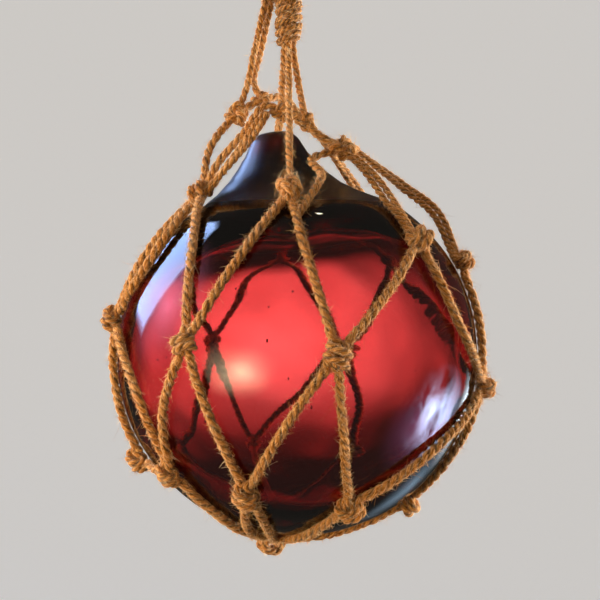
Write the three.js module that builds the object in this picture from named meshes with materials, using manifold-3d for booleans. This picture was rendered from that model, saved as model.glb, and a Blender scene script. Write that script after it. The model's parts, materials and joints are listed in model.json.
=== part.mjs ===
// Glass fishing float ball in a knotted cord net, hung from a bound cord loop.
// Sizes are in mm. The ball's centre is the drawing's zero, +Z is up, and the front faces -Y.
// At the end everything moves so that the inside top of the hanging loop is at the origin.
import * as THREE from "three";
import { mergeVertices } from "three/addons/utils/BufferGeometryUtils.js";
import Module from "manifold-3d";

const BALL_D = 125;
const NECK_LEAN_DEG = 6;
const CORD_D = 3.6;
const LINE_D = 2.8;
const LOOP_D = 4.0;
const GAP = 0.35;

const BUNDLE_OFFSET = 3;
const LINE_RISE = 46.7;
const NARROW_BINDING = 16;
const LINE_TAIL = 6;
const LOOP_TAIL = 9;
const BINDING_WALL = 1.2;
const WRAP_PITCH = 3.2;
const WRAP_DEPTH = 0.5;
const LOOP_HEIGHT = 24;
const LOOP_WIDTH = 18;

const BALL_ROWS = 15;
const BALL_SIDES = 30;
const CORD_SIDES = 6;
const LINE_SIDES = 8;
const BINDING_SIDES = 10;
const LUMP_SIDES = 7;
const LUMP_ROWS = 4;
const CORD_STEP = 15;
const LINE_STEP = 10;
const LOOP_STEP = 4.5;

const RED_GLASS = { color: 0x8f1a1e, roughness: 0.06, metalness: 0 };
const JUTE = { color: 0xa8703f, roughness: 0.95, metalness: 0 };

const BALL_R = BALL_D / 2;

// The blown neck from the shoulder to the tip: radius and height above the ball's centre,
// both as shares of the ball's radius.
const SHOULDER_START_DEG = 39;
const NECK_PROFILE = [
  [0.56, 0.812], [0.48, 0.848], [0.4, 0.888], [0.33, 0.938], [0.255, 1.01],
  [0.2, 1.075], [0.163, 1.135], [0.138, 1.185], [0.11, 1.218], [0.078, 1.237], [0, 1.242],
];

// Knots of the net: longitude from the front towards +X, then latitude, in degrees.
const KNOTS = {
  topLeft: [-72, 58], topFront: [-3.7, 57.3], topRight: [49.5, 36.5],
  topFarRight: [86, 29.5], topBackRight: [137.1, 34.6], topBack: [-170.1, 42.3],
  midLeft: [-75, 11.2], midFrontLeft: [-33.2, 4.6], midFront: [11.2, 1.6],
  midRight: [84, -9.5], midBack: [163.9, -0.3], midBackLeft: [-148.6, 2.5],
  lowLeft: [-81, -32.8], lowFrontLeft: [-52.1, -35.5], lowFront: [-19.4, -41.9],
  lowFrontRight: [23.1, -48.3], lowRight: [96, -53.1], lowBackRight: [150.4, -42.3],
  lowBack: [-160.8, -38], lowBackLeft: [-122, -38],
  bottom: [-90, -82.3],
};

// Each cord on the ball: the two knots it joins, and how far it bows sideways, in degrees.
const MESH = [
  ["topFront", "midFrontLeft", 3.3], ["topFront", "midFront", -1.8],
  ["topLeft", "midFrontLeft", 5.6], ["topLeft", "midLeft", 3.5], ["topLeft", "midLeft", 11],
  ["topLeft", "midBackLeft", 0], ["topRight", "midFront", 0.8], ["topRight", "midRight", -11.2],
  ["topFarRight", "midRight", 0], ["topBackRight", "midRight", 8],
  ["topBackRight", "midBack", -2], ["topBack", "midBack", -0.7], ["topBack", "midBackLeft", -1.9],
  ["midLeft", "lowLeft", -1], ["midLeft", "lowFrontLeft", 7.5],
  ["midFrontLeft", "lowFrontLeft", -2.3], ["midFrontLeft", "lowFront", 1.2],
  ["midFront", "lowFront", -2.1], ["midFront", "lowFrontRight", -1.2],
  ["midRight", "lowFrontRight", -9.2], ["midRight", "lowRight", -1.5],
  ["midBack", "lowBackRight", -1.9], ["midBack", "lowBack", 2.6], ["midBackLeft", "lowBack", 0.7],
  ["midBackLeft", "lowBackLeft", -3.8], ["lowLeft", "lowFrontLeft", -2],
  ["lowFrontLeft", "bottom", 5], ["lowFront", "bottom", -3], ["lowFront", "bottom", 3.5],
  ["lowFrontRight", "bottom", -1.5], ["lowRight", "bottom", 2], ["lowBackRight", "bottom", 2],
  ["lowBack", "bottom", 0], ["lowBackLeft", "bottom", 0],
];
const DOUBLE_CORD = 1.4;
const BOTTOM_KNOT_SPREAD = 1.45;

// Where the cords cross in front of the neck and beside it, as shares of the ball's radius.
const at = (x, y, z) => new THREE.Vector3(x, y, z).multiplyScalar(BALL_R);
const LEFT_KNOT = at(-0.336, 0.022, 1.338);
const BACK_KNOT = at(-0.198, 0.074, 1.42);
const MIDDLE_KNOT = at(-0.09, -0.144, 1.332);
const RIGHT_KNOT = at(0.046, -0.144, 1.28);
const SIDE_KNOT = at(0.251, -0.16, 1.134);
const BACK_BEND = at(-0.075, 0.208, 1.446);
const BACK_RIGHT_BEND = at(0.142, 0.272, 1.283);
const RIGHT_BEND = at(0.336, 0.224, 1.149);

// The lines' places in the two bundles: three round one centre, two side by side to its left.
const SPACING = LINE_D + GAP;
const BUNDLE_R = SPACING / Math.sqrt(3);
const BUNDLE_X = -BUNDLE_OFFSET;
const LOOP_X = BUNDLE_X;
const PAIR_TURN = new THREE.Vector3(0.62, 0.79, 0);
const PAIR_WIDTH = SPACING * PAIR_TURN.x + LINE_D;
const LEFT_BUNDLE_X = BUNDLE_X - BUNDLE_R - LINE_D / 2 - GAP * 2 - PAIR_WIDTH / 2;

// Heights of the binding and of what ends in it.
const BINDING_START_Z = BALL_R + LINE_RISE;
const JOIN_Z = BINDING_START_Z + NARROW_BINDING;
const LINES_END_Z = JOIN_Z + LINE_TAIL;
const LOOP_START_Z = LINES_END_Z + GAP * 5;
const BINDING_TOP_Z = LOOP_START_Z + LOOP_TAIL;
const LOOP_TOP_Z = BINDING_TOP_Z + LOOP_HEIGHT;

const UP = new THREE.Vector3(0, 0, 1);
const wasm = await Module();
wasm.setup();

// A three.js geometry made into a solid.
function solid(geometry) {
  geometry.deleteAttribute("normal");
  geometry.deleteAttribute("uv");
  const merged = mergeVertices(geometry, 1e-5);
  return new wasm.Manifold(new wasm.Mesh({
    numProp: 3,
    vertProperties: new Float32Array(merged.attributes.position.array),
    triVerts: new Uint32Array(merged.index.array),
  }));
}

function union(solids) {
  return solids.reduce((whole, next) => whole.add(next));
}

// A round bar along a smooth path through the points.
function tube(points, diameter, sides, step) {
  const path = new THREE.CatmullRomCurve3(points, false, "centripetal");
  const outline = [];
  for (let i = 0; i < sides; i += 1) {
    const turn = (i / sides) * Math.PI * 2;
    outline.push(new THREE.Vector2(Math.cos(turn), Math.sin(turn)).multiplyScalar(diameter / 2));
  }
  const steps = Math.max(2, Math.round(path.getLength() / step));
  const options = { steps, extrudePath: path, bevelEnabled: false };
  return solid(new THREE.ExtrudeGeometry(new THREE.Shape(outline), options));
}

// A knot: a low round lump, flattened along the direction given.
function lump(centre, radius, flatness, direction) {
  const shape = new THREE.SphereGeometry(radius, LUMP_SIDES, LUMP_ROWS);
  shape.rotateX(Math.PI / 2);
  shape.scale(1, 1, flatness);
  shape.applyQuaternion(new THREE.Quaternion().setFromUnitVectors(UP, direction));
  shape.translate(centre.x, centre.y, centre.z);
  return solid(shape);
}

// The outward direction at a knot of the net.
function outward(knot) {
  const [lon, lat] = KNOTS[knot].map(THREE.MathUtils.degToRad);
  return new THREE.Vector3(
    Math.cos(lat) * Math.sin(lon),
    -Math.cos(lat) * Math.cos(lon),
    Math.sin(lat),
  );
}

// The faceted cords cut their corners between two rings, so they ride this much higher.
const CHORD_SAG = BALL_R * (1 - Math.cos(CORD_STEP / BALL_R / 2));
const rideOf = (diameter) => BALL_R + diameter / 2 + GAP + CHORD_SAG;
const KNOT_R = CORD_D * 1.25;
const KNOT_FLATNESS = 0.8;
const LINE_KNOT_R = CORD_D / 2 + GAP + LINE_D * 0.65;
const KNOT_RIDE = BALL_R + KNOT_R * KNOT_FLATNESS + GAP;
const onBall = (knot, cords = 1) => outward(knot).multiplyScalar(rideOf(CORD_D * cords));

// The path of a net cord over the ball from knot to knot.
function overBall(from, to, bow) {
  const start = outward(from);
  const end = outward(to);
  const side = new THREE.Vector3().crossVectors(start, end).normalize();
  const angle = start.angleTo(end);
  const count = Math.ceil((angle * BALL_R) / CORD_STEP);
  const points = [];
  for (let i = 0; i <= count; i += 1) {
    const t = i / count;
    const point = start.clone().multiplyScalar(Math.sin((1 - t) * angle))
      .addScaledVector(end, Math.sin(t * angle))
      .normalize();
    const aside = Math.tan(THREE.MathUtils.degToRad(bow)) * Math.sin(t * Math.PI);
    point.addScaledVector(side, aside).normalize();
    points.push(point.multiplyScalar(rideOf(CORD_D)));
  }
  return points;
}

// The cords over the shoulder and round the neck, each with its thickness in cords.
function neckCords() {
  const left = onBall("topLeft");
  const frontCord = overBall("topFront", "midFront", -1.8);
  return [
    { cords: 1, points: [left, at(-0.483, -0.048, 1.144), LEFT_KNOT, BACK_KNOT, BACK_BEND,
      BACK_RIGHT_BEND, RIGHT_BEND] },
    { cords: 1, points: [left, at(-0.442, -0.144, 1.043), at(-0.296, -0.16, 1.213),
      at(-0.17, -0.144, 1.37), MIDDLE_KNOT, RIGHT_KNOT, at(0.12, -0.16, 1.206), SIDE_KNOT] },
    { cords: DOUBLE_CORD, points: [onBall("topLeft", DOUBLE_CORD), at(-0.41, -0.208, 0.995),
      at(-0.282, -0.216, 1.155), at(-0.168, -0.176, 1.325)] },
    { cords: DOUBLE_CORD, points: [SIDE_KNOT, at(0.394, -0.272, 0.984),
      onBall("topRight", DOUBLE_CORD)] },
    { cords: DOUBLE_CORD, points: [SIDE_KNOT, RIGHT_BEND] },
    { cords: DOUBLE_CORD, points: [RIGHT_BEND, at(0.586, 0.128, 0.947), at(0.776, 0.048, 0.784),
      onBall("topFarRight", DOUBLE_CORD)] },
    { cords: 1, points: [SIDE_KNOT, at(0.08, -0.24, 1.067), at(0.131, -0.352, 0.982),
      at(0.118, -0.474, 0.928), frontCord[1]] },
    { cords: DOUBLE_CORD, points: [BACK_RIGHT_BEND, at(0.352, 0.528, 0.941),
      onBall("topBackRight", DOUBLE_CORD)] },
    { cords: DOUBLE_CORD, points: [BACK_BEND, at(-0.128, 0.448, 1.126),
      onBall("topBack", DOUBLE_CORD)] },
  ];
}

// The knotted net, or the same net grown all round by a clearance.
// The front knot is left out, because the front hanging line ties it.
function net(grow = 0) {
  const pieces = [lump(SIDE_KNOT, KNOT_R + grow, 1, UP)];
  for (const [from, to, bow] of MESH) {
    pieces.push(tube(overBall(from, to, bow), CORD_D + 2 * grow, CORD_SIDES, CORD_STEP));
  }
  for (const { cords, points } of neckCords()) {
    pieces.push(tube(points, CORD_D * cords + 2 * grow, CORD_SIDES, CORD_STEP));
  }
  for (const knot of Object.keys(KNOTS).filter((name) => name !== "topFront")) {
    const spread = knot === "bottom" ? BOTTOM_KNOT_SPREAD : 1;
    const centre = outward(knot).multiplyScalar(KNOT_RIDE);
    pieces.push(lump(centre, KNOT_R * spread + grow, KNOT_FLATNESS / spread, outward(knot)));
  }
  return union(pieces);
}

// The solid glass ball with its shoulder and sealed neck.
function glassBall() {
  const outline = [];
  const start = THREE.MathUtils.degToRad(SHOULDER_START_DEG);
  for (let i = 0; i <= BALL_ROWS; i += 1) {
    const angle = Math.PI - (i / BALL_ROWS) * (Math.PI - start);
    outline.push(new THREE.Vector2(i ? Math.sin(angle) * BALL_R : 0, Math.cos(angle) * BALL_R));
  }
  for (const [radius, height] of NECK_PROFILE) {
    outline.push(new THREE.Vector2(radius * BALL_R, height * BALL_R));
  }
  const ball = new THREE.LatheGeometry(outline, BALL_SIDES);
  ball.rotateX(Math.PI / 2);
  ball.rotateY(-THREE.MathUtils.degToRad(NECK_LEAN_DEG));
  return solid(ball);
}

// Each hanging line: where it is knotted to the net, and its way up into the binding.
function linePaths() {
  const straight = (knot, turnDeg) => {
    const turn = THREE.MathUtils.degToRad(turnDeg);
    const x = BUNDLE_X + BUNDLE_R * Math.sin(turn);
    const y = -BUNDLE_R * Math.cos(turn);
    const heights = [BINDING_START_Z - LINE_D, BINDING_START_Z + LINE_D * 2, LINES_END_Z];
    return [knot, ...heights.map((z) => new THREE.Vector3(x, y, z))];
  };
  const paired = (knot, side) => {
    const aside = PAIR_TURN.clone().multiplyScalar((side * SPACING) / 2);
    const way = [[-0.258, 0.048, 0.27], [-0.224, 0.038, 0.52], [-0.165, 0.016, 0.91]];
    const climb = way.map(([x, y, rise]) => {
      return at(x, y, 0).setZ(THREE.MathUtils.lerp(LEFT_KNOT.z, JOIN_Z, rise)).add(aside);
    });
    const ends = [JOIN_Z + LINE_TAIL * 0.2, LINES_END_Z]
      .map((z) => new THREE.Vector3(LEFT_BUNDLE_X, 0, z).add(aside));
    return [knot, ...climb, ...ends];
  };
  return {
    hanging_line_front: straight(outward("topFront").multiplyScalar(KNOT_RIDE), 0),
    hanging_line_middle: straight(MIDDLE_KNOT, -120),
    hanging_line_right: straight(RIGHT_KNOT, 120),
    hanging_line_left: paired(LEFT_KNOT, -1),
    hanging_line_back: paired(BACK_KNOT, 1),
  };
}

// A line with its end knot, open where the net's cord runs through the knot.
function hangingLine(points, netWithClearance) {
  return tube(points, LINE_D, LINE_SIDES, LINE_STEP)
    .add(lump(points[0], LINE_KNOT_R, 1.1, UP))
    .subtract(netWithClearance);
}

// The loop's centre line: two legs in the binding and a drop-shaped eye.
function loopPath() {
  const leg = LOOP_D / 2 + GAP;
  const wide = LOOP_WIDTH / 2;
  const side = (sign) => [
    new THREE.Vector3(LOOP_X + sign * leg, 0, LOOP_START_Z),
    new THREE.Vector3(LOOP_X + sign * leg, 0, BINDING_TOP_Z),
    new THREE.Vector3(LOOP_X + sign * wide * 0.85, 0, LOOP_TOP_Z - LOOP_HEIGHT * 0.58),
    new THREE.Vector3(LOOP_X + sign * wide * 0.92, 0, LOOP_TOP_Z - LOOP_HEIGHT * 0.3),
    new THREE.Vector3(LOOP_X + sign * wide * 0.6, 0, LOOP_TOP_Z - LOOP_HEIGHT * 0.07),
  ];
  return [...side(-1), new THREE.Vector3(LOOP_X, 0, LOOP_TOP_Z), ...side(1).reverse()];
}

// The whipped binding: narrow round three lines, then wider where the left pair joins.
function binding(contents) {
  const half = BUNDLE_R + LINE_D / 2 + GAP + BINDING_WALL;
  const left = LEFT_BUNDLE_X - PAIR_WIDTH / 2 - GAP - BINDING_WALL;
  const right = Math.max(BUNDLE_X + half, LOOP_X + LOOP_D + GAP * 2 + BINDING_WALL);
  const depth = Math.max(half, LOOP_D / 2 + GAP + BINDING_WALL) + WRAP_DEPTH;
  const narrow = { x: BUNDLE_X, width: half, depth: half };
  const wide = { x: (left + right) / 2, width: (right - left) / 2, depth };
  const rows = Math.round((BINDING_TOP_Z - BINDING_START_Z) / (WRAP_PITCH / 2));
  const positions = [];
  for (let row = 0; row <= rows; row += 1) {
    const z = THREE.MathUtils.lerp(BINDING_START_Z, BINDING_TOP_Z, row / rows);
    const { x, width, depth: deep } = z < JOIN_Z ? narrow : wide;
    const swell = row % 2 ? WRAP_DEPTH : 0;
    for (let i = 0; i < BINDING_SIDES; i += 1) {
      const turn = (i / BINDING_SIDES) * Math.PI * 2;
      positions.push(x + (width + swell) * Math.cos(turn), (deep + swell) * Math.sin(turn), z);
    }
  }
  const index = [];
  for (let row = 0; row < rows; row += 1) {
    for (let i = 0; i < BINDING_SIDES; i += 1) {
      const a = row * BINDING_SIDES + i;
      const b = row * BINDING_SIDES + ((i + 1) % BINDING_SIDES);
      index.push(a, b, b + BINDING_SIDES, a, b + BINDING_SIDES, a + BINDING_SIDES);
    }
  }
  const last = rows * BINDING_SIDES;
  for (let i = 1; i + 1 < BINDING_SIDES; i += 1) {
    index.push(0, i + 1, i, last, last + i, last + i + 1);
  }
  const sleeve = new THREE.BufferGeometry();
  sleeve.setAttribute("position", new THREE.Float32BufferAttribute(positions, 3));
  sleeve.setIndex(index);
  return solid(sleeve).subtract(contents);
}

function mesh(name, body, material) {
  const { vertProperties, triVerts } = body.getMesh();
  const geometry = new THREE.BufferGeometry();
  geometry.setAttribute("position", new THREE.Float32BufferAttribute(vertProperties, 3));
  geometry.setIndex(new THREE.Uint32BufferAttribute(triVerts, 1));
  geometry.translate(-LOOP_X, 0, LOOP_D / 2 - LOOP_TOP_Z);
  const piece = new THREE.Mesh(geometry, new THREE.MeshStandardMaterial(material));
  piece.name = name;
  return piece;
}

const float = new THREE.Group();
float.name = "glass_float_ball";
float.add(mesh("glass_ball", glassBall(), RED_GLASS));
float.add(mesh("net", net(), JUTE));

const netWithClearance = net(GAP);
const paths = linePaths();
for (const [name, points] of Object.entries(paths)) {
  float.add(mesh(name, hangingLine(points, netWithClearance), JUTE));
}

const linesWithClearance = Object.values(paths)
  .map((points) => tube(points, LINE_D + 2 * GAP, LINE_SIDES, LINE_STEP));
const loopWithClearance = tube(loopPath(), LOOP_D + 2 * GAP, LINE_SIDES, LOOP_STEP);
float.add(mesh("hanging_loop", tube(loopPath(), LOOP_D, LINE_SIDES, LOOP_STEP), JUTE));
float.add(mesh("binding", binding(union([...linesWithClearance, loopWithClearance])), JUTE));

export default float;
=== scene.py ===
import json
import math

import bpy
import numpy as np
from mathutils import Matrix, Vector, noise

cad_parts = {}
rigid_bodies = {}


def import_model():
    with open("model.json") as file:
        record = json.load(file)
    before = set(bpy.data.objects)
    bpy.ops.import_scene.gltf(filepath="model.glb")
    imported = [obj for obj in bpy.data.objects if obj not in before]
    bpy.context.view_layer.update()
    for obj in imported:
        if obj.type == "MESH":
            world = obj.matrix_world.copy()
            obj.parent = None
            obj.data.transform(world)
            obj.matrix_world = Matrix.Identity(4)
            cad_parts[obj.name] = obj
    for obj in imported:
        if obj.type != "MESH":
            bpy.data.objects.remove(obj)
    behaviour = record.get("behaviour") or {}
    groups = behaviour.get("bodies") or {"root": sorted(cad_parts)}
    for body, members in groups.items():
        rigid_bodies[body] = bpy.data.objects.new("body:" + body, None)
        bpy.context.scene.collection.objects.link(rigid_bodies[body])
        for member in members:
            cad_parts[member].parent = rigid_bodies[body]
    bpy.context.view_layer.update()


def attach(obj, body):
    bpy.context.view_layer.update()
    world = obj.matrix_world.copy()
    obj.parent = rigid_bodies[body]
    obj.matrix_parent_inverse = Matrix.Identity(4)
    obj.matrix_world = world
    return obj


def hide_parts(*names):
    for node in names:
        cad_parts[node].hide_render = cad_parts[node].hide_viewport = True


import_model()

# Sizes shared with the solid part
BALL_R = 62.5
CORD_D = 3.6
LINE_D = 2.8
LOOP_D = 4.0
GAP = 0.35
BUNDLE_X = -3.0
SPACING = LINE_D + GAP
BUNDLE_R = SPACING / math.sqrt(3)
PAIR_TURN = np.array([0.62, 0.79, 0.0])
PAIR_WIDTH = SPACING * 0.62 + LINE_D
LEFT_BUNDLE_X = BUNDLE_X - BUNDLE_R - LINE_D / 2 - GAP * 2 - PAIR_WIDTH / 2
BINDING_START_Z = BALL_R + 46.7
JOIN_Z = BINDING_START_Z + 16
LINES_END_Z = JOIN_Z + 6
LOOP_START_Z = LINES_END_Z + GAP * 5
BINDING_TOP_Z = LOOP_START_Z + 9
LOOP_HEIGHT = 24.0
LOOP_WIDTH = 18.0
LOOP_TOP_Z = BINDING_TOP_Z + LOOP_HEIGHT
ORIGIN = np.array([BUNDLE_X, 0.0, LOOP_TOP_Z - LOOP_D / 2])
NECK_LEAN = math.radians(6)

# Radius and height of the shoulder and neck, as shares of the ball's radius
NECK_PROFILE = [
    (0.56, 0.812), (0.48, 0.848), (0.4, 0.888), (0.33, 0.938), (0.255, 1.01),
    (0.2, 1.075), (0.163, 1.135), (0.138, 1.185), (0.11, 1.218), (0.078, 1.237), (0, 1.242),
]

# Longitude and latitude of the knots in degrees, from the front of the ball
KNOTS = {
    "topLeft": (-72, 58), "topFront": (-3.7, 57.3), "topRight": (49.5, 36.5),
    "topFarRight": (86, 29.5), "topBackRight": (137.1, 34.6), "topBack": (-170.1, 42.3),
    "midLeft": (-75, 11.2), "midFrontLeft": (-33.2, 4.6), "midFront": (11.2, 1.6),
    "midRight": (84, -9.5), "midBack": (163.9, -0.3), "midBackLeft": (-148.6, 2.5),
    "lowLeft": (-81, -32.8), "lowFrontLeft": (-52.1, -35.5), "lowFront": (-19.4, -41.9),
    "lowFrontRight": (23.1, -48.3), "lowRight": (96, -53.1), "lowBackRight": (150.4, -42.3),
    "lowBack": (-160.8, -38), "lowBackLeft": (-122, -38),
    "bottom": (-90, -82.3),
}

# The two knots that each cord of the net joins, and how far it bows aside, in degrees
MESH = [
    ("topFront", "midFrontLeft", 3.3), ("topFront", "midFront", -1.8),
    ("topLeft", "midFrontLeft", 5.6), ("topLeft", "midLeft", 3.5), ("topLeft", "midLeft", 11),
    ("topLeft", "midBackLeft", 0), ("topRight", "midFront", 0.8), ("topRight", "midRight", -11.2),
    ("topFarRight", "midRight", 0), ("topBackRight", "midRight", 8),
    ("topBackRight", "midBack", -2), ("topBack", "midBack", -0.7), ("topBack", "midBackLeft", -1.9),
    ("midLeft", "lowLeft", -1), ("midLeft", "lowFrontLeft", 7.5),
    ("midFrontLeft", "lowFrontLeft", -2.3), ("midFrontLeft", "lowFront", 1.2),
    ("midFront", "lowFront", -2.1), ("midFront", "lowFrontRight", -1.2),
    ("midRight", "lowFrontRight", -7), ("midRight", "lowRight", -1.5),
    ("midBack", "lowBackRight", -1.9), ("midBack", "lowBack", 2.6), ("midBackLeft", "lowBack", 0.7),
    ("midBackLeft", "lowBackLeft", -3.8), ("lowLeft", "lowFrontLeft", -2),
    ("lowFrontLeft", "bottom", 5), ("lowFront", "bottom", -3), ("lowFront", "bottom", 3.5),
    ("lowFrontRight", "bottom", -1.5), ("lowRight", "bottom", 2), ("lowBackRight", "bottom", 2),
    ("lowBack", "bottom", 0), ("lowBackLeft", "bottom", 0),
]

# Sizes of the glass
WALL = 4.0
NECK_WALL_EXTRA = 9.5
FOOT_WALL_EXTRA = 3.6
SHOULDER_FROM_TOP = 39
SHOULDER_ROUNDING = 3.6
OUTER_WAVE = 0.45
INNER_WAVE = 0.8
GLASS_SIDES = 144
SEEDS_IN_GLASS = 90

# Sizes of the cords: wear has made the net, the lines and the loop a little thinner than the plain bars
WORN = 0.9
NET_D = CORD_D * WORN
RIDE = BALL_R + NET_D / 2 - 0.05
NECK_CORD_D = 2.9
NECK_PAIR_D = 2.4
NECK_PAIR_APART = 1.25
WHIPPING_D = 1.7
WHIPPING_PITCH = 1.5
PLY_LIFT = 0.2
PLY_RADIUS = 0.305
KNOT_REACH = 6.2
PATH_STEP = 0.6
NET_STEP = 0.7

# Loose fibres: how many for each mm of cord, their length and thickness, and whether they bend
NET_FUZZ = [(16.0, 0.85, 0.065, False), (2.5, 1.6, 0.07, True), (0.35, 3.0, 0.06, True)]
NECK_FUZZ = [(12.0, 0.85, 0.065, False), (2.0, 1.8, 0.07, True)]
PAIR_FUZZ = [(9.0, 0.8, 0.065, False), (1.5, 1.8, 0.07, True)]
LINE_FUZZ = [(12.0, 0.8, 0.065, False), (2.0, 1.6, 0.06, True)]
LOOP_FUZZ = [(12.0, 0.9, 0.065, False), (2.0, 1.6, 0.07, True)]
KNOT_FUZZ = [(9.0, 0.9, 0.065, False), (1.8, 1.6, 0.07, True)]
LINE_KNOT_FUZZ = [(5.5, 2.6, 0.055, True)]
WHIPPING_FUZZ = [(3.5, 0.9, 0.065, False), (1.0, 1.8, 0.07, True)]
FUZZ_TRIANGLES = 160000

# How single knots differ: the turn and the slant in degrees, and the shares of size and loose fibres
KNOT_TURN = {"midFront": -50, "topRight": 25, "lowFront": 15, "topFront": -8}
KNOT_SLANT = {"topFront": -38, "midFront": 35, "midFrontLeft": 30, "lowFront": -35, "lowFrontRight": 40}
KNOT_SIZE = {
    "midFront": 1.12, "topFront": 1.2, "lowFront": 1.12, "topRight": 1.15, "bottom": 1.25,
    "lowFrontRight": 1.1,
}
KNOT_HAIR = {"topFront": 1.8, "midRight": 2.0, "topFarRight": 2.0}


def at(x, y, z):
    """A place given in shares of the ball's radius."""
    return np.array([x, y, z], float) * BALL_R


LEFT_KNOT = at(-0.336, 0.022, 1.338)
BACK_KNOT = at(-0.198, 0.074, 1.42)
MIDDLE_KNOT = at(-0.09, -0.144, 1.332)
RIGHT_KNOT = at(0.046, -0.144, 1.28)
SIDE_KNOT = at(0.251, -0.16, 1.134)
BACK_BEND = at(-0.075, 0.208, 1.446)
BACK_RIGHT_BEND = at(0.128, 0.272, 1.24)
RIGHT_BEND = at(0.336, 0.224, 1.149)

rng = np.random.default_rng(7)


def unit(v):
    return v / np.linalg.norm(v, axis=-1, keepdims=True)


def outward(knot):
    lon, lat = (math.radians(a) for a in KNOTS[knot])
    return np.array([math.cos(lat) * math.sin(lon), -math.cos(lat) * math.cos(lon), math.sin(lat)])


def on_ball(knot):
    return outward(knot) * RIDE


def surface_axes(out):
    """East and north on the ball's surface."""
    helper = np.array([0, 0, 1.0]) if abs(out[2]) < 0.97 else np.array([0, -1.0, 0])
    x = unit(np.cross(helper, out))
    return x, np.cross(out, x)


def distances(path):
    """How far along the path each of its points is."""
    return np.concatenate([[0], np.cumsum(np.linalg.norm(np.diff(path, axis=0), axis=1))])


def resample(dense, step):
    """The same path with points about a step apart."""
    along = distances(dense)
    count = max(3, int(round(along[-1] / step)) + 1)
    s = np.linspace(0, along[-1], count)
    return np.column_stack([np.interp(s, along, dense[:, k]) for k in range(3)])


def smooth_path(points, step):
    """Points a step apart on a smooth curve through the given ones."""
    p = np.array(points, float)
    p = np.vstack([2 * p[0] - p[1], p, 2 * p[-1] - p[-2]])
    out = []
    for a, b, c, d in zip(p, p[1:], p[2:], p[3:]):
        gaps = [max(1e-6, np.linalg.norm(v)) ** 0.5 for v in (b - a, c - b, d - c)]
        t0, t1, t2, t3 = np.cumsum([0] + gaps)
        t = np.linspace(t1, t2, 24, endpoint=False)[:, None]
        a1 = (t1 - t) / (t1 - t0) * a + (t - t0) / (t1 - t0) * b
        a2 = (t2 - t) / (t2 - t1) * b + (t - t1) / (t2 - t1) * c
        a3 = (t3 - t) / (t3 - t2) * c + (t - t2) / (t3 - t2) * d
        b1 = (t2 - t) / (t2 - t0) * a1 + (t - t0) / (t2 - t0) * a2
        b2 = (t3 - t) / (t3 - t1) * a2 + (t - t1) / (t3 - t1) * a3
        out.append((t2 - t) / (t2 - t1) * b1 + (t - t1) / (t2 - t1) * b2)
    return resample(np.vstack(out + [p[-2:-1]]), step)


def over_ball(start, end, bow):
    """A cord's way over the ball from one knot's direction to another's."""
    side = unit(np.cross(start, end))
    angle = math.acos(float(np.clip(start @ end, -1, 1)))
    t = np.linspace(0, 1, 40)[:, None]
    p = unit(np.sin((1 - t) * angle) * start + np.sin(t * angle) * end)
    return unit(p + side * math.tan(math.radians(bow)) * np.sin(t * math.pi)) * RIDE


def frames(path):
    """Tangents and two cross directions that don't twist along the path."""
    tangent = unit(np.gradient(path, axis=0))
    normal = np.zeros_like(path)
    start = np.cross(tangent[0], [0.3, 0.2, 0.9])
    normal[0] = unit(start if np.linalg.norm(start) > 0.1 else np.cross(tangent[0], [1, 0, 0]))
    for i in range(1, len(path)):
        n = normal[i - 1] - tangent[i] * (normal[i - 1] @ tangent[i])
        normal[i] = unit(n)
    return tangent, normal, np.cross(tangent, normal)


def wrap(rings, sides):
    """Quads round a stack of rings, and the triangles that join its ends to two last points."""
    i = np.arange(rings - 1)[:, None]
    j = np.arange(sides)
    k = (j + 1) % sides
    quads = np.stack([i * sides + j, i * sides + k, (i + 1) * sides + k, (i + 1) * sides + j], -1)
    last = (rings - 1) * sides
    ends = np.vstack([
        np.column_stack([k, j, np.full(sides, rings * sides)]),
        np.column_stack([last + j, last + k, np.full(sides, rings * sides + 1)]),
    ])
    return quads.reshape(-1, 4), ends


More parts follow.
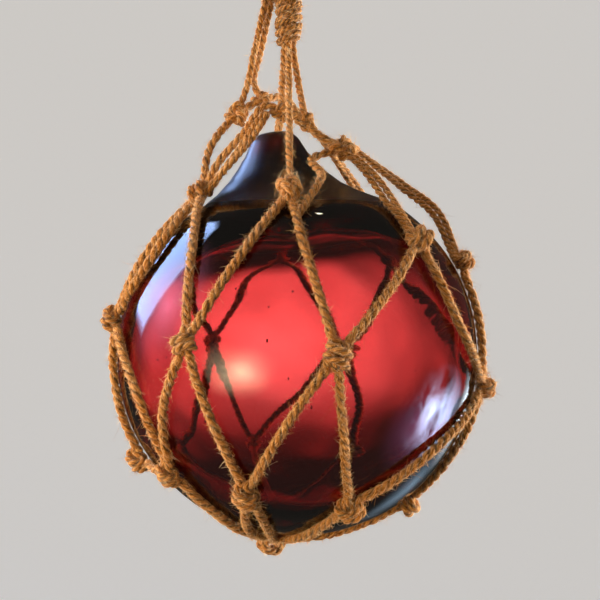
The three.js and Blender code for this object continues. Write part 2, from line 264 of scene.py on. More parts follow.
class Skin:
    """Gathers the surfaces of one piece."""

    def __init__(self):
        self.verts, self.faces, self.uvs, self.depths = [], [], [], []
        self.count = self.triangles = 0

    def add_faces(self, faces, uvs=None, depths=None):
        """Faces on the vertices added next, with how far each corner stands out of its cord, from 0 to 1."""
        self.faces.append(faces + self.count)
        self.uvs.append(np.zeros(faces.shape + (2,)) if uvs is None else uvs)
        self.depths.append(np.ones(faces.shape) if depths is None else depths)

    def add_verts(self, verts):
        self.verts.append(verts)
        self.count += len(verts)

    def add_body(self, verts, quads, ends, hollow=False):
        for faces in (quads, ends):
            self.add_faces(faces[:, ::-1] if hollow else faces)
        self.add_verts(verts)

    def ply(self, path, radius, sides, seed, axis, reach):
        """One ply of a cord that has that axis and reaches that far out from it."""
        tangent, normal, binormal = frames(path)
        n = len(path)
        turn = np.arange(sides) / sides * 2 * math.pi
        ring = np.cos(turn)[None, :, None] * normal[:, None]
        ring = ring + np.sin(turn)[None, :, None] * binormal[:, None]
        verts = path[:, None] + ring * radius[:, None, None]
        depth = (np.linalg.norm(verts - axis[:, None], axis=-1) / reach).ravel()
        tips = [path[:1] - tangent[:1] * radius[0] * 0.4, path[-1:] + tangent[-1:] * radius[-1] * 0.4]
        quads, ends = wrap(n, sides)
        along = distances(path)
        shape = (n - 1, sides)
        u0, u1 = (np.broadcast_to(u[:, None], shape) for u in (along[:-1], along[1:]))
        v0, v1 = (np.broadcast_to((np.arange(sides) + k) / sides, shape) for k in (0, 1))
        shift = seed * 37.0
        uv = np.stack([u0, v0, u0, v1, u1, v1, u1, v0], -1).reshape(-1, 4, 2) + [shift, 0]
        self.add_faces(quads, uv, depth[quads])
        self.add_faces(ends, np.zeros((len(ends), 3, 2)) + [shift, 0.5])
        self.add_verts(np.vstack([verts.reshape(-1, 3), *tips]))

    def cord(self, path, diameter, twist=2.1, sides=8, step=0.66):
        """Two plies laid round each other, each a little uneven."""
        seed = rng.random() * 40
        path = resample(path, step)
        tangent, normal, binormal = frames(path)
        s = np.arange(len(path)) * step
        phase = seed - s / (diameter * twist) * 2 * math.pi
        phase = phase + 0.55 * np.sin(s * 0.23 + seed * 2) + 0.3 * np.sin(s * 0.61 + seed * 7)
        for ply in (0, math.pi):
            aside = np.cos(phase + ply)[:, None] * normal + np.sin(phase + ply)[:, None] * binormal
            uneven = 1 + 0.09 * np.sin(s * 0.9 + seed * 3 + ply) + 0.06 * np.sin(s * 2.3 + seed * 5)
            centre = path + diameter * PLY_LIFT * aside
            self.ply(centre, diameter * PLY_RADIUS * uneven, sides, seed + ply, path, diameter / 2)

    def object(self, name, material):
        verts = (np.vstack(self.verts) - ORIGIN) / 1000
        sizes = np.concatenate([np.full(len(f), f.shape[1]) for f in self.faces])
        loops = np.concatenate([f.ravel() for f in self.faces])
        starts = np.concatenate([[0], np.cumsum(sizes)[:-1]])
        mesh = bpy.data.meshes.new(name)
        mesh.vertices.add(len(verts))
        mesh.vertices.foreach_set("co", verts.ravel())
        mesh.loops.add(len(loops))
        mesh.loops.foreach_set("vertex_index", loops.astype(np.int32))
        mesh.polygons.add(len(sizes))
        mesh.polygons.foreach_set("loop_start", starts.astype(np.int32))
        mesh.polygons.foreach_set("use_smooth", np.ones(len(sizes), bool))
        mesh.update(calc_edges=True)
        mesh.validate()
        layer = mesh.uv_layers.new(name="lay")
        layer.data.foreach_set("uv", np.vstack([u.reshape(-1, 2) for u in self.uvs]).ravel())
        layer = mesh.uv_layers.new(name="depth")
        depth = np.concatenate([d.ravel() for d in self.depths])
        layer.data.foreach_set("uv", np.column_stack([depth, depth * 0]).ravel())
        mesh.materials.append(material)
        obj = bpy.data.objects.new(name, mesh)
        bpy.context.scene.collection.objects.link(obj)
        return obj


# Materials

# Sockets of a colour mix
MIX_SHARE, MIX_FIRST, MIX_SECOND, MIXED = 0, 6, 7, 2


def new_material(name):
    material = bpy.data.materials.new(name)
    material.use_nodes = True
    return material, material.node_tree, material.node_tree.nodes["Principled BSDF"]


def feed(tree, node, values):
    """Sets inputs of a node, each to a plain value or to the output that drives it."""
    for name, value in values.items():
        if isinstance(value, bpy.types.NodeSocket):
            tree.links.new(value, node.inputs[name])
        else:
            node.inputs[name].default_value = value


def add_node(tree, kind, values=None, **settings):
    made = tree.nodes.new("ShaderNode" + kind)
    for setting, value in settings.items():
        setattr(made, setting, value)
    feed(tree, made, values or {})
    return made


def set_ramp(ramp, first, middle, last):
    """Three stops of a ramp, each a position and a colour."""
    for element, (position, color) in zip(ramp.elements, (first, last)):
        element.position = position
        element.color = (*color, 1)
    ramp.elements.new(middle[0]).color = (*middle[1], 1)


def jute_material():
    """Streaks of fibres along each ply, pale patches, and painted shade that darkens the grooves where the
    plies meet.
    """
    material, tree, shader = new_material("jute")
    lay = add_node(tree, "UVMap", uv_map="lay")
    stretch = {"Vector": lay.outputs[0], "Scale": (0.7, 17, 1), "Rotation": (0, 0, -0.045)}
    streaks = add_node(tree, "Mapping", stretch)
    grain = {"Vector": streaks.outputs[0], "Scale": 1.0, "Detail": 4, "Roughness": 0.75}
    fibres = add_node(tree, "TexNoise", grain)
    color = add_node(tree, "ValToRGB", {0: fibres.outputs["Fac"]})
    set_ramp(color.color_ramp, (0.39, (0.1, 0.024, 0.001)), (0.5, (0.55, 0.19, 0.018)),
             (0.6, (0.9, 0.52, 0.19)))
    place = add_node(tree, "TexCoord")
    patches = add_node(tree, "TexNoise", {"Vector": place.outputs["Object"], "Scale": 55, "Detail": 3})
    faded = {"Value": patches.outputs["Fac"], "From Min": 0.45, "From Max": 0.7, "To Max": 0.3}
    fade = add_node(tree, "MapRange", faded)
    patched = {MIX_SHARE: fade.outputs[0], MIX_FIRST: color.outputs[0], MIX_SECOND: (0.72, 0.44, 0.2, 1)}
    tint = add_node(tree, "Mix", patched, data_type="RGBA", blend_type="MIX")
    # Painted shade: corners that lie deep in the cord, in the grooves between the plies, are darkened to as
    # little as 0.16 of their colour.
    depth = add_node(tree, "UVMap", uv_map="depth")
    apart = add_node(tree, "SeparateXYZ", {0: depth.outputs[0]})
    painted_groove_shade_range = {"Value": apart.outputs[0], "From Min": 0.5, "From Max": 0.98, "To Min": 0.16}
    painted_groove_shade = add_node(tree, "MapRange", painted_groove_shade_range, interpolation_type="SMOOTHSTEP")
    with_painted_groove_shade = {MIX_SHARE: 1.0, MIX_FIRST: tint.outputs[MIXED], MIX_SECOND: painted_groove_shade.outputs[0]}
    shade = add_node(tree, "Mix", with_painted_groove_shade, data_type="RGBA", blend_type="MULTIPLY")
    raised = {"Height": fibres.outputs["Fac"], "Strength": 0.9, "Distance": 0.0006}
    bump = add_node(tree, "Bump", raised)
    feed(tree, shader, {
        "Base Color": shade.outputs[MIXED],
        "Normal": bump.outputs[0],
        "Roughness": 0.92,
        "Specular IOR Level": 0.2,
        "Sheen Weight": 0.4,
        "Sheen Roughness": 0.45,
        "Sheen Tint": (1, 0.9, 0.75, 1),
    })
    return material


def fuzz_material():
    """Each fibre has one colour, from brown to straw."""
    material, tree, shader = new_material("jute_fuzz")
    lay = add_node(tree, "UVMap", uv_map="lay")
    apart = add_node(tree, "SeparateXYZ", {0: lay.outputs[0]})
    color = add_node(tree, "ValToRGB", {0: apart.outputs["X"]})
    set_ramp(color.color_ramp, (0, (0.36, 0.12, 0.015)), (0.4, (0.78, 0.4, 0.11)), (1, (1.0, 0.82, 0.54)))
    feed(tree, shader, {"Base Color": color.outputs[0], "Roughness": 0.7, "Specular IOR Level": 0.3})
    return material


def glass_material():
    """Red all through, clear in the ball and duller on the worked shoulder and neck."""
    material, tree, shader = new_material("red_glass")
    clear, dull = 0.02, 0.32
    plain = {"Base Color": (1, 1, 1, 1), "Roughness": clear, "IOR": 1.5, "Transmission Weight": 1.0}
    feed(tree, shader, plain)
    place = add_node(tree, "TexCoord")
    apart = add_node(tree, "SeparateXYZ", {0: place.outputs["Object"]})
    worked = add_node(tree, "MapRange", {
        "Value": apart.outputs["Z"],
        "From Min": (BALL_R * 0.76 - ORIGIN[2]) / 1000,
        "From Max": (BALL_R * 0.86 - ORIGIN[2]) / 1000,
        "To Min": clear,
        "To Max": dull,
    }, interpolation_type="SMOOTHSTEP")
    feed(tree, shader, {"Roughness": worked.outputs[0]})
    absorb = add_node(tree, "VolumeAbsorption", {"Color": (0.71, 0.0, 0.01, 1), "Density": 450})
    feed(tree, tree.nodes["Material Output"], {"Volume": absorb.outputs[0]})
    return material


jute = jute_material()
fuzz = fuzz_material()
red_glass = glass_material()


# Glass


def tool_marks(height):
    """The share by which the worked neck swells at each height."""
    worked = np.clip((height - BALL_R * 0.82) / 4, 0, 1)
    wave = np.sin(height * 1.7 + 0.6 * np.sin(height * 0.9)) * 0.06 + np.sin(height * 4.1) * 0.015
    return 1 + wave * worked / 12


def unevenness(points):
    return np.array([
        noise.noise((p * 0.035).tolist()) + 0.4 * noise.noise((p * 0.09 + 7).tolist()) for p in points
    ])


def lathe(profile, sides, wobble=0.0, marks=False):
    """Vertices, quads and end faces of a body turned about the leaning axis, from (radius, height) points."""
    turn = np.arange(sides) / sides * 2 * math.pi
    profile = np.array(profile)
    rings = profile[1:-1]
    height = np.repeat(rings[:, 1:], sides, axis=1)
    verts = np.stack([rings[:, :1] * np.cos(turn), rings[:, :1] * np.sin(turn), height], -1).reshape(-1, 3)
    verts = np.vstack([verts, [[0, 0, profile[0, 1]], [0, 0, profile[-1, 1]]]])
    if marks:
        verts[:, :2] *= tool_marks(verts[:, 2])[:, None]
    if wobble:
        verts = verts * (1 + wobble * unevenness(verts) / BALL_R)[:, None]
    c, s = math.cos(-NECK_LEAN), math.sin(-NECK_LEAN)
    verts = verts @ np.array([[c, 0, -s], [0, 1, 0], [s, 0, c]])
    quads, ends = wrap(len(rings), sides)
    return verts, quads, ends


def smooth_profile(points, count):
    path = smooth_path([(r, 0, z) for r, z in points], 0.5)
    path = resample(path, distances(path)[-1] / (count - 1))
    return [(max(0.0, p[0]), p[2]) for p in path]


def arc(radius, from_deg, to_deg, count):
    """Points of a round outline between two angles from the top."""
    return [(radius * math.sin(math.radians(a)), radius * math.cos(math.radians(a)))
            for a in np.linspace(from_deg, to_deg, count)]


def softened(profile, spread):
    """The same outline with its corner rounded over a few mm."""
    line = resample(np.array([(r, 0, z) for r, z in profile]), 1.0)
    reach = int(spread * 3)
    weight = np.exp(-0.5 * (np.arange(-reach, reach + 1) / spread) ** 2)
    weight /= weight.sum()
    soft = line.copy()
    for k in (0, 2):
        padded = np.concatenate([np.full(reach, line[0, k]), line[:, k], np.full(reach, line[-1, k])])
        soft[:, k] = np.convolve(padded, weight, "valid")
    tip = line[:, 2] > BALL_R * 1.1
    foot = line[:, 2] < -BALL_R * 0.9
    soft[tip | foot] = line[tip | foot]
    return [(p[0], p[2]) for p in soft]


def ease(share):
    share = min(1.0, max(0.0, share))
    return share * share * (3 - 2 * share)


def wall_at(angle):
    """Wall thickness at an angle from the top in degrees: more glass is left at the neck and the foot."""
    return WALL + NECK_WALL_EXTRA * ease((62 - angle) / 56) + FOOT_WALL_EXTRA * ease((angle - 98) / 82)


def add_seed(skin):
    """A tiny bubble in the wall, stretched upwards."""
    place = unit(rng.normal(0, 1, 3)) * rng.uniform(BALL_R - 3.2, BALL_R - 0.9)
    if place[2] > 40:
        return
    verts, quads, ends = lathe(arc(rng.uniform(0.12, 0.4), 180, 0, 6), 8)
    stretch = np.array([1, 1, rng.uniform(1, 2.2)])
    skin.add_body(verts * stretch + place, quads, ends, True)


def glass_ball():
    ball = arc(BALL_R, 180, SHOULDER_FROM_TOP, 80)
    neck = [(r * BALL_R, z * BALL_R) for r, z in NECK_PROFILE]
    outside = softened(ball + smooth_profile(ball[-2:] + neck, 64)[2:], SHOULDER_ROUNDING)
    inside = [arc(BALL_R - wall_at(a), a, a, 1)[0] for a in np.linspace(180, 0, 110)]
    skin = Skin()
    for _ in range(SEEDS_IN_GLASS):
        add_seed(skin)
    skin.add_body(*lathe(outside, GLASS_SIDES, OUTER_WAVE, True))
    skin.add_body(*lathe(inside, GLASS_SIDES, INNER_WAVE), True)
    return skin


ball = glass_ball().object("blown_glass_ball", red_glass)
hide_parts("glass_ball")
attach(ball, "root")


# Cords

fuzz_pieces = [Skin()]


def keep_out(points, clearance):
    """Moves points that are inside the round of the ball out to its surface."""
    reach = np.linalg.norm(points, axis=-1, keepdims=True)
    low = (reach < BALL_R + clearance) & (points[..., 2:] < 50)
    return np.where(low, points / np.maximum(reach, 1e-6) * (BALL_R + clearance), points)


def fuzz_piece():
    """The piece that the next fibres go into: a new one when the last has enough."""
    if fuzz_pieces[-1].triangles > FUZZ_TRIANGLES:
        fuzz_pieces.append(Skin())
    return fuzz_pieces[-1]


def add_hairs(path, diameter, per_mm, length, thick, bent):
    """Loose fibres that stand off a cord, most of them lying nearly along it."""
    path = resample(path, 0.5)
    tangent, normal, binormal = frames(path)
    count = int(len(path) * 0.5 * per_mm)
    if count == 0:
        return
    i = rng.integers(0, len(path), count)
    turn = rng.random(count)[:, None] * 2 * math.pi
    out = np.cos(turn) * normal[i] + np.sin(turn) * binormal[i]
    side = -np.sin(turn) * normal[i] + np.cos(turn) * binormal[i]
    reach = (length * np.minimum(rng.gamma(2.0, 0.5, count), 1.9))[:, None]
    lean = tangent[i] * (rng.choice([-1, 1], count) * rng.uniform(0.5, 1.8, count))[:, None]
    first = unit(out * rng.uniform(0.25, 1.3, (count, 1)) + lean + side * rng.normal(0, 0.3, (count, 1)))
    bend = out * rng.normal(0.2, 0.6, (count, 1)) + tangent[i] * rng.normal(0, 0.8, (count, 1))
    bend = unit(bend + side * rng.normal(0, 0.8, (count, 1)))
    steps = 3 if bent else 2
    t = np.linspace(0, 1, steps)[None, :, None]
    start = path[i] + out * diameter * 0.42
    points = start[:, None] + (first * reach)[:, None] * t + (bend * reach * 0.5)[:, None] * t * t
    points = keep_out(points, 0.12)
    across = unit(np.cross(first, bend + 0.01))
    other = np.cross(first, across)
    ring = np.arange(3) / 3 * 2 * math.pi
    offset = np.cos(ring)[None, :, None] * across[:, None] + np.sin(ring)[None, :, None] * other[:, None]
    width = thick * np.linspace(1, 0.3, steps)[None, :, None, None]
    verts = (points[:, :, None] + offset[:, None] * width).reshape(-1, 3)
    row = np.arange(count)[:, None, None] * 3 * steps + np.arange(steps - 1)[None, :, None] * 3
    j = np.arange(3)[None, None, :]
    k = (j + 1) % 3
    quads = np.stack([row + j, row + k, row + 3 + k, row + 3 + j], -1).reshape(-1, 4)
    shade = np.repeat(rng.random(count), 3 * (steps - 1))[:, None, None]
    hairs = fuzz_piece()
    hairs.triangles += len(quads) * 2
    hairs.add_faces(quads, np.concatenate([shade, shade * 0], -1) + np.zeros((len(quads), 4, 2)))
    hairs.add_verts(verts)


def lay_cord(skin, path, diameter, hairs, more=1.0, **making):
    """A cord with its loose fibres; more stands for how frayed it is."""
    skin.cord(path, diameter, **making)
    for per_mm, length, thick, bent in hairs:
        add_hairs(path, diameter, per_mm * more, length * more ** 0.4, thick, bent)


def trefoil(centre, out, size, turn, squash, height):
    """A tight knot's centreline, lying on the surface."""
    x, y = surface_axes(out)
    t = np.linspace(0, 2 * math.pi, 60)
    u = (np.sin(t) + 2 * np.sin(2 * t)) / 3
    v = (np.cos(t) - 2 * np.cos(2 * t)) / 3 * squash
    a, b = u * math.cos(turn) - v * math.sin(turn), u * math.sin(turn) + v * math.cos(turn)
    return centre + size * (a[:, None] * x + b[:, None] * y) - height * np.sin(3 * t)[:, None] * out


# Net

net = Skin()
knots = Skin()
mesh_paths = []
ends_at = {name: [] for name in KNOTS}
for start, end, bow in MESH:
    path = resample(over_ball(outward(start), outward(end), bow), NET_STEP)
    path += np.array([[noise.noise((p * 0.07 + k * 11).tolist()) for k in range(3)] for p in path]) * 0.35
    skip = int(KNOT_REACH / NET_STEP)
    ends_at[start].append((path[skip], path[skip + 3]))
    ends_at[end].append((path[-skip - 1], path[-skip - 4]))
    mesh_paths.append(path[skip - 1:-skip + 1])
for path in mesh_paths:
    lay_cord(net, path, NET_D, NET_FUZZ)


def tie(name):
    """The cords pass side by side through the knot, and one of them is wound round them all."""
    out = outward(name)
    east, north = surface_axes(out)
    turn = math.radians(KNOT_TURN.get(name, 0))
    x = east * math.cos(turn) + north * math.sin(turn)
    y = north * math.cos(turn) - east * math.sin(turn)
    size = KNOT_SIZE.get(name, 1.0)
    centre = out * (BALL_R + 3.2)

    def place(px, py, pz):
        return centre + (x * px + y * py + out * pz) * size

    def lay(points, diameter):
        path = keep_out(smooth_path(points, NET_STEP), 1.35)
        lay_cord(knots, path, diameter, KNOT_FUZZ, KNOT_HAIR.get(name, 1.0))

    ends = [((a - centre) @ x, (a - centre) @ y, a, b) for a, b in ends_at[name]]
    upper = sorted([e for e in ends if e[1] > 0], key=lambda e: e[0])
    lower = sorted([e for e in ends if e[1] <= 0], key=lambda e: e[0])
    count = max(len(upper), len(lower))
    for n in range(count):
        share = 0.5 if count == 1 else n / (count - 1)
        px = (share - 0.5) * 2.6
        points = [place(px, 2.4, -0.8), place(px * 0.8, 0, -0.5), place(px, -2.4, -0.8)]
        if upper:
            first = upper[min(n, len(upper) - 1)]
            points = [first[3], first[2]] + points
        if lower:
            last = lower[min(n, len(lower) - 1)]
            points += [last[2], last[3]]
        lay(points, NET_D * 0.92)
    slant = math.radians(KNOT_SLANT.get(name, 28 if ends_at[name][0][0][0] > 0 else -28))
    wind = []
    for t in np.linspace(-0.55, 1.75 * 2 * math.pi, 30):
        px, py = 3.1 * math.cos(t), (t / (2 * math.pi) - 0.85) * 3.0
        across = px * math.cos(slant) - py * math.sin(slant)
        up = px * math.sin(slant) + py * math.cos(slant)
        wind.append(place(across, up, 2.35 * math.sin(t) + 0.35))
    lay(wind, NET_D * 0.88)


left = on_ball("topLeft")
front_cord = over_ball(outward("topFront"), outward("midFront"), -1.8)

# The cords over the shoulder and round the neck: how many lie side by side, and the places they pass
NECK_CORDS = [
    (1, [left, at(-0.483, -0.048, 1.144), LEFT_KNOT, BACK_KNOT, BACK_BEND, BACK_RIGHT_BEND, RIGHT_BEND]),
    (1, [left, at(-0.442, -0.144, 1.043), at(-0.296, -0.16, 1.213), at(-0.17, -0.144, 1.37), MIDDLE_KNOT,
         RIGHT_KNOT, at(0.12, -0.16, 1.206), SIDE_KNOT]),
    (2, [left, at(-0.41, -0.208, 0.995), at(-0.282, -0.216, 1.155), at(-0.168, -0.176, 1.325)]),
    (2, [SIDE_KNOT, at(0.394, -0.272, 0.984), on_ball("topRight")]),
    (2, [SIDE_KNOT, RIGHT_BEND]),
    (2, [RIGHT_BEND, at(0.586, 0.128, 0.947), at(0.776, 0.048, 0.784), on_ball("topFarRight")]),
    (1, [SIDE_KNOT, at(0.08, -0.24, 1.067), at(0.131, -0.352, 0.982), at(0.118, -0.474, 0.928),
         front_cord[8]]),
    (2, [BACK_RIGHT_BEND, at(0.352, 0.528, 0.941), on_ball("topBackRight")]),
    (2, [BACK_BEND, at(-0.128, 0.448, 1.126), on_ball("topBack")]),
]
for cords, points in NECK_CORDS:
    path = smooth_path(points, PATH_STEP)
    if cords == 1:
        lay_cord(net, path, NECK_CORD_D, NECK_FUZZ)
        continue
    tangent, normal, binormal = frames(path)
    opened = np.sin(np.linspace(0, math.pi, len(path))) ** 0.3
    for side in (-1, 1):
        turn = np.linspace(0, 1.5, len(path)) + rng.random()
        aside = np.cos(turn)[:, None] * normal + np.sin(turn)[:, None] * binormal
        strand = keep_out(path + side * aside * (NECK_PAIR_APART * opened)[:, None], 1.3)
        lay_cord(net, strand, NECK_PAIR_D, PAIR_FUZZ)
side_knot = trefoil(SIDE_KNOT, unit(np.array([0.3, -0.6, 0.7])), 4.4, 0.4, 0.85, 1.5)
lay_cord(net, side_knot, 3.2, LINE_KNOT_FUZZ)
for cords, points in NECK_CORDS:
    for first, second in ((points[0], points[1]), (points[-1], points[-2])):
        for name in KNOTS:
            if np.linalg.norm(first - on_ball(name)) < 0.5:
                way = unit(second - first)
                ends_at[name].append((first + way * 5, first + way * 7))
for name in KNOTS:
    tie(name)


def finish_cord(skin, name, node):
    made = skin.object(name, jute)
    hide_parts(node)
    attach(made, "root")
    return made


# Hanging lines


def straight(knot, turn_deg):
    """From a knot up into its place in the bundle of three."""
    turn = math.radians(turn_deg)
    x, y = BUNDLE_X + BUNDLE_R * math.sin(turn), -BUNDLE_R * math.cos(turn)
    heights = (BINDING_START_Z - LINE_D, BINDING_START_Z + LINE_D * 2, LINES_END_Z)
    return [knot] + [np.array([x, y, z]) for z in heights]


def paired(knot, side):
    """From a knot up to one side of the pair at the left."""
    aside = PAIR_TURN * side * SPACING / 2
    climb = []
    for x, y, rise in ((-0.258, 0.048, 0.27), (-0.224, 0.038, 0.52), (-0.165, 0.016, 0.91)):
        point = at(x, y, 0)
        point[2] = LEFT_KNOT[2] + (JOIN_Z - LEFT_KNOT[2]) * rise
        climb.append(point + aside)
    ends = [np.array([LEFT_BUNDLE_X, 0, z]) + aside for z in (JOIN_Z + 1.2, LINES_END_Z)]
    return [knot] + climb + ends


# Each line's way, the side that its knot faces and the knot's size; the front one's knot is the net's own
LINES = {
    "front": (straight(outward("topFront") * (BALL_R + 3.6), 0), None, 0),
    "middle": (straight(MIDDLE_KNOT, -120), (0, -1.0, 0), 1.0),
    "right": (straight(RIGHT_KNOT, 120), (0.2, -1.0, 0), 1.0),
    "left": (paired(LEFT_KNOT, -1), (-0.5, -1.0, 0.3), 1.25),
    "back": (paired(BACK_KNOT, 1), (0, -1.0, 0.5), 1.0),
}
for name, (points, facing, big) in LINES.items():
    line = Skin()
    path = smooth_path(points, PATH_STEP)
    lay_cord(line, path, LINE_D * WORN, LINE_FUZZ)
    if facing:
        out = unit(np.array(facing))
        line_knot = trefoil(points[0], out, 2.9 * big, rng.random() * 3, 0.9, 1.2 * big)
        lay_cord(knots, line_knot, 2.6 * big, LINE_KNOT_FUZZ)
    finish_cord(line, f"hanging_cord_{name}", f"hanging_line_{name}")

finish_cord(net, "knotted_net", "net")
knot_object = knots.object("net_knots", jute)
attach(knot_object, "root")


# Loop and binding


def loop_path():
    leg = LOOP_D / 2 + GAP
    wide = LOOP_WIDTH / 2

    def side(sign):
        return [
            np.array([BUNDLE_X + sign * leg, 0, LOOP_START_Z]),
            np.array([BUNDLE_X + sign * leg, 0, BINDING_TOP_Z]),
            np.array([BUNDLE_X + sign * wide * 0.85, 0, LOOP_TOP_Z - LOOP_HEIGHT * 0.58]),
            np.array([BUNDLE_X + sign * wide * 0.92, 0, LOOP_TOP_Z - LOOP_HEIGHT * 0.3]),
            np.array([BUNDLE_X + sign * wide * 0.6, 0, LOOP_TOP_Z - LOOP_HEIGHT * 0.07]),
        ]

    return side(-1) + [np.array([BUNDLE_X, 0, LOOP_TOP_Z])] + side(1)[::-1]


def whipping_path():
    """One cord wound round the bundle of three, and further up round the pair as well."""
    z = np.arange(BINDING_START_Z - 0.5, BINDING_TOP_Z - 1, 0.09)
    joined = np.clip((z - JOIN_Z + 1.5) / 3, 0, 1)
    half = BUNDLE_R + LINE_D / 2 + 0.9
    low = (BUNDLE_X - half) * (1 - joined) + (LEFT_BUNDLE_X - PAIR_WIDTH / 2 - 1.0) * joined
    high = (BUNDLE_X + half) * (1 - joined) + (BUNDLE_X + LOOP_D + GAP * 2 + 0.9) * joined
    angle = z / WHIPPING_PITCH * 2 * math.pi
    swell = np.array([noise.noise((0.0, h * 0.35, 3.0)) for h in z]) * 0.5
    taper = np.minimum(1.0, 0.78 + (z - z[0]) * 0.06)
    return np.column_stack([
        (low + high) / 2 + ((high - low) / 2 + swell) * taper * np.cos(angle),
        (half + 0.6 * joined + swell) * taper * np.sin(angle),
        z + np.cos(angle) * 1.1 + 0.5 * np.sin(z * 1.7),
    ])


loop = Skin()
path = smooth_path(loop_path(), PATH_STEP)
lay_cord(loop, path, LOOP_D * WORN, LOOP_FUZZ)
finish_cord(loop, "loop_cord", "hanging_loop")

whipping = Skin()
lay_cord(whipping, whipping_path(), WHIPPING_D, WHIPPING_FUZZ, twist=2.2, sides=6, step=0.8)
finish_cord(whipping, "whipping", "binding")

for n, hairs in enumerate(fuzz_pieces):
    made = hairs.object(f"cord_fuzz_{n + 1}", fuzz)
    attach(made, "root")


# Camera

scene = bpy.context.scene
scene.view_settings.view_transform = "Standard"
BALL_AT = -ORIGIN / 1000

CAMERA = np.array([1.0, -600.0, 18.9])
FOCAL_LENGTH_PX = 1724
PICTURE_PX = 600
camera_data = bpy.data.cameras.new("camera")
camera_data.sensor_width = 36
camera_data.lens = FOCAL_LENGTH_PX / PICTURE_PX * camera_data.sensor_width
camera_data.clip_start = 0.02
camera = bpy.data.objects.new("camera", camera_data)
camera.location = (CAMERA - ORIGIN) / 1000
camera.rotation_euler = (math.radians(90), 0, 0)
scene.collection.objects.link(camera)
scene.camera = camera


# Light

object_only = bpy.data.collections.new("object_only")
for piece in scene.objects:
    if piece.type == "MESH":
        object_only.objects.link(piece)


def toward(azimuth, elevation, distance):
    """The point that far from the ball's middle; azimuth 0 is the camera's side, 90 is to its right."""
    a, e = math.radians(azimuth), math.radians(elevation)
    way = np.array([math.cos(e) * math.sin(a), -math.cos(e) * math.cos(a), math.sin(e)])
    return BALL_AT + way * distance


def softbox(name, azimuth, elevation, distance, size, radiance, color, mirrored=False):
    """A rectangular light aimed at the ball: a mirrored one shows only as a reflection, others never do."""
    data = bpy.data.lights.new(name, "AREA")
    data.shape = "RECTANGLE"
    data.size, data.size_y = size
    data.energy = radiance * math.pi * size[0] * size[1]
    data.color = color
    obj = bpy.data.objects.new(name, data)
    obj.location = toward(azimuth, elevation, distance)
    aim = Vector((BALL_AT - toward(azimuth, elevation, distance)).tolist())
    obj.rotation_euler = aim.to_track_quat("-Z", "Y").to_euler()
    scene.collection.objects.link(obj)
    obj.visible_camera = obj.visible_transmission = False
    obj.visible_diffuse = not mirrored
    obj.visible_glossy = mirrored
    obj.light_linking.receiver_collection = object_only


softbox("glint_top", 143, 76, 1.0, (0.05, 0.03), 40, (1.0, 0.9, 0.7), mirrored=True)
softbox("glint_front", 13, 49, 1.0, (0.04, 0.07), 25, (1.0, 0.8, 0.7), mirrored=True)
softbox("rim_right", 117, -6, 0.9, (0.32, 0.42), 82, (1.0, 0.97, 0.94))
softbox("key_left", -98, 8, 0.9, (0.44, 0.44), 26, (1.0, 0.93, 0.86))
softbox("warm_front", -42, -16, 0.9, (0.36, 0.26), 27, (1.0, 0.78, 0.46))
softbox("fill_front", -8, 25, 1.4, (0.5, 0.5), 3, (1.0, 0.78, 0.5))
softbox("top_soft", 0, 88, 1.1, (1.0, 1.0), 1.0, (1.0, 0.92, 0.82))

world = bpy.data.worlds.new("studio")
world.use_nodes = True
tree = world.node_tree
place = add_node(tree, "TexCoord")
apart = add_node(tree, "SeparateXYZ", {0: place.outputs["Generated"]})
behind = {"Value": apart.outputs["Y"], "From Min": 0.9, "From Max": -0.3, "To Min": 0.06, "To Max": 0.16}
level = add_node(tree, "MapRange", behind, interpolation_type="SMOOTHSTEP")
feed(tree, tree.nodes["Background"], {"Strength": level.outputs[0], "Color": (1.0, 0.88, 0.76, 1)})
scene.world = world


# Backdrop

FLOOR_Z = -0.45
ROOM_R = 1.7
ROOM_BEND = 0.8
ROOM_TOP_Z = 1.6
ROOM_SIDES = 96


def room():
    """A round pale floor that curves up into a wall all round."""
    material, tree, shader = new_material("pale_room")
    feed(tree, shader, {
        "Base Color": (0.8, 0.79, 0.77, 1),
        "Roughness": 0.9,
        "Emission Color": (1.0, 0.985, 0.96, 1),
        "Emission Strength": 0.48,
    })
    outline = [(0.0, FLOOR_Z), (ROOM_R - ROOM_BEND, FLOOR_Z)]
    for k in range(1, 17):
        a = math.pi / 2 * k / 16
        r = ROOM_R - ROOM_BEND + ROOM_BEND * math.sin(a)
        outline.append((r, FLOOR_Z + ROOM_BEND - ROOM_BEND * math.cos(a)))
    outline.append((ROOM_R, ROOM_TOP_Z))
    verts, faces = [], []
    for r, z in outline:
        for i in range(ROOM_SIDES):
            a = i / ROOM_SIDES * 2 * math.pi
            verts.append((r * math.cos(a), r * math.sin(a), z))
    for n in range(len(outline) - 1):
        low, high = n * ROOM_SIDES, (n + 1) * ROOM_SIDES
        for i in range(ROOM_SIDES):
            k = (i + 1) % ROOM_SIDES
            faces.append((low + i, low + k, high + k, high + i))
    mesh = bpy.data.meshes.new("room")
    mesh.from_pydata(verts, [], faces)
    for p in mesh.polygons:
        p.use_smooth = True
    mesh.materials.append(material)
    obj = bpy.data.objects.new("room", mesh)
    scene.collection.objects.link(obj)
    obj.visible_diffuse = obj.visible_glossy = obj.visible_transmission = False
    return obj


room()


# Cards of light round the glass


def oval(centre, half):
    """Points round an oval that faces the ball."""
    east, north = surface_axes(unit(BALL_AT - centre))
    turn = np.arange(28) / 28 * 2 * math.pi
    return centre + np.cos(turn)[:, None] * east * half[0] + np.sin(turn)[:, None] * north * half[1]


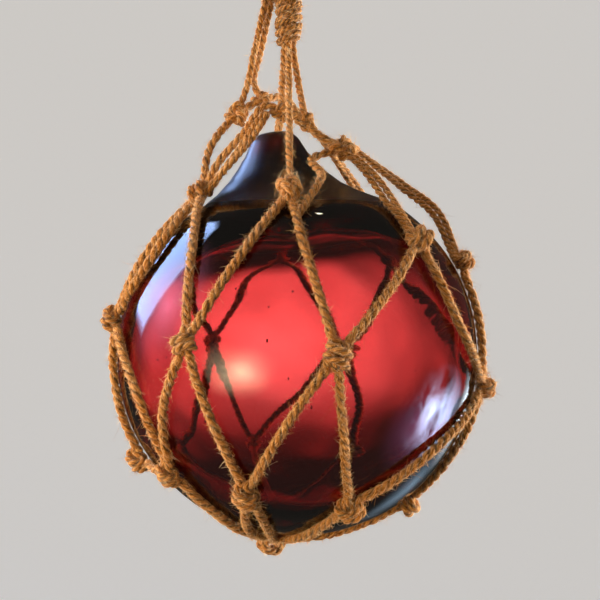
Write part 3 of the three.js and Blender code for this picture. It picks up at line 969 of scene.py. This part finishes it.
def card_material(name, radiance, color, soft, patchy):
    """Light that fades out towards the outline, and in a patchy card is broken up like thin cloud."""
    material = bpy.data.materials.new(name)
    material.use_nodes = True
    tree = material.node_tree
    tree.nodes.clear()
    inward = add_node(tree, "UVMap", uv_map="inward")
    apart = add_node(tree, "SeparateXYZ", {0: inward.outputs[0]})
    rise = add_node(tree, "MapRange", {"Value": apart.outputs["X"], "From Max": soft})
    share = add_node(tree, "Math", {0: rise.outputs[0], 1: 2}, operation="POWER")
    if patchy:
        place = add_node(tree, "TexCoord")
        grain = {"Vector": place.outputs["Object"], "Scale": 5.5, "Detail": 4}
        cloud = add_node(tree, "TexNoise", grain)
        spread = {"Value": cloud.outputs["Fac"], "From Min": 0.36, "From Max": 0.6}
        broken = add_node(tree, "MapRange", spread)
        share = add_node(tree, "Math", {0: broken.outputs[0], 1: share.outputs[0]}, operation="MULTIPLY")
    power = add_node(tree, "Math", {0: share.outputs[0], 1: radiance}, operation="MULTIPLY")
    glow = add_node(tree, "Emission", {"Color": (*color, 1), "Strength": power.outputs[0]})
    clear = add_node(tree, "BsdfTransparent")
    both = add_node(tree, "AddShader", {0: glow.outputs[0], 1: clear.outputs[0]})
    add_node(tree, "OutputMaterial", {"Surface": both.outputs[0]})
    return material


def card(name, outline, radiance, color, soft=1.0, mirrored=False, patchy=False):
    """A light that only the glass shows: mirrored in it, or seen through it."""
    count = len(outline)
    corners = np.vstack([np.mean(outline, axis=0)[None], outline])
    faces = [(0, 1 + n, 1 + (n + 1) % count) for n in range(count)]
    mesh = bpy.data.meshes.new(name)
    mesh.from_pydata(corners.tolist(), [], faces)
    layer = mesh.uv_layers.new(name="inward")
    layer.data.foreach_set("uv", [1.0, 0.0, 0.0, 0.0, 0.0, 0.0] * count)
    mesh.materials.append(card_material(name, radiance, color, soft, patchy))
    obj = bpy.data.objects.new(name, mesh)
    scene.collection.objects.link(obj)
    obj.visible_camera = obj.visible_diffuse = obj.visible_shadow = False
    obj.visible_glossy = mirrored
    obj.visible_transmission = not mirrored


# Corners of the window that the glass mirrors, as azimuth and elevation
WINDOW = [
    (-115, 4), (-129, 8), (-137, 15), (-145, 23), (-149, 31), (-147, 40), (-139, 50),
    (-121, 54), (-111, 47), (-100, 40), (-98, 30), (-102, 20), (-107, 12),
]
CREAM = (1.0, 0.95, 0.9)
AMBER = (1.0, 0.82, 0.5)
SKY = (0.36, 0.54, 1.0)
PINK = (1.0, 0.32, 0.56)
DEEP_PINK = (1.0, 0.25, 0.6)
HAZE_BLUE = (0.52, 0.66, 1.0)
ICE = (0.75, 0.88, 1.0)
STEEL = (0.5, 0.75, 1.0)

card("glow_behind", oval(BALL_AT + np.array([-0.022, 0.5, -0.002]), (0.31, 0.18)), 4.4, CREAM)
for azimuth in (-135, -90, -45, 0, 45, 90, 135):
    strength = 2.6 if abs(azimuth) < 135 else 1.6
    card(f"glow_{azimuth}", oval(toward(azimuth, -6, 0.5), (0.3, 0.26)), strength, CREAM)
card("glow_front", oval(toward(-35, -9, 0.9), (0.5, 0.3)), 20, AMBER, mirrored=True)
card("window", np.array([toward(*corner, 1.5) for corner in WINDOW]), 11, SKY, soft=0.16, mirrored=True)
card("haze_left", oval(toward(-94, 22, 0.9), (0.66, 0.56)), 8, PINK, mirrored=True)
card("haze_right", oval(toward(107, -24, 0.9), (0.46, 0.34)), 28, HAZE_BLUE, mirrored=True, patchy=True)
card("haze_low", oval(toward(98, -30, 0.9), (0.5, 0.4)), 3, DEEP_PINK, mirrored=True)
card("strip_right", oval(toward(142, -14, 1.2), (0.34, 0.3)), 9, ICE, mirrored=True)
card("strip_low", oval(toward(148, -32, 1.2), (0.5, 0.3)), 1.4, STEEL, mirrored=True)
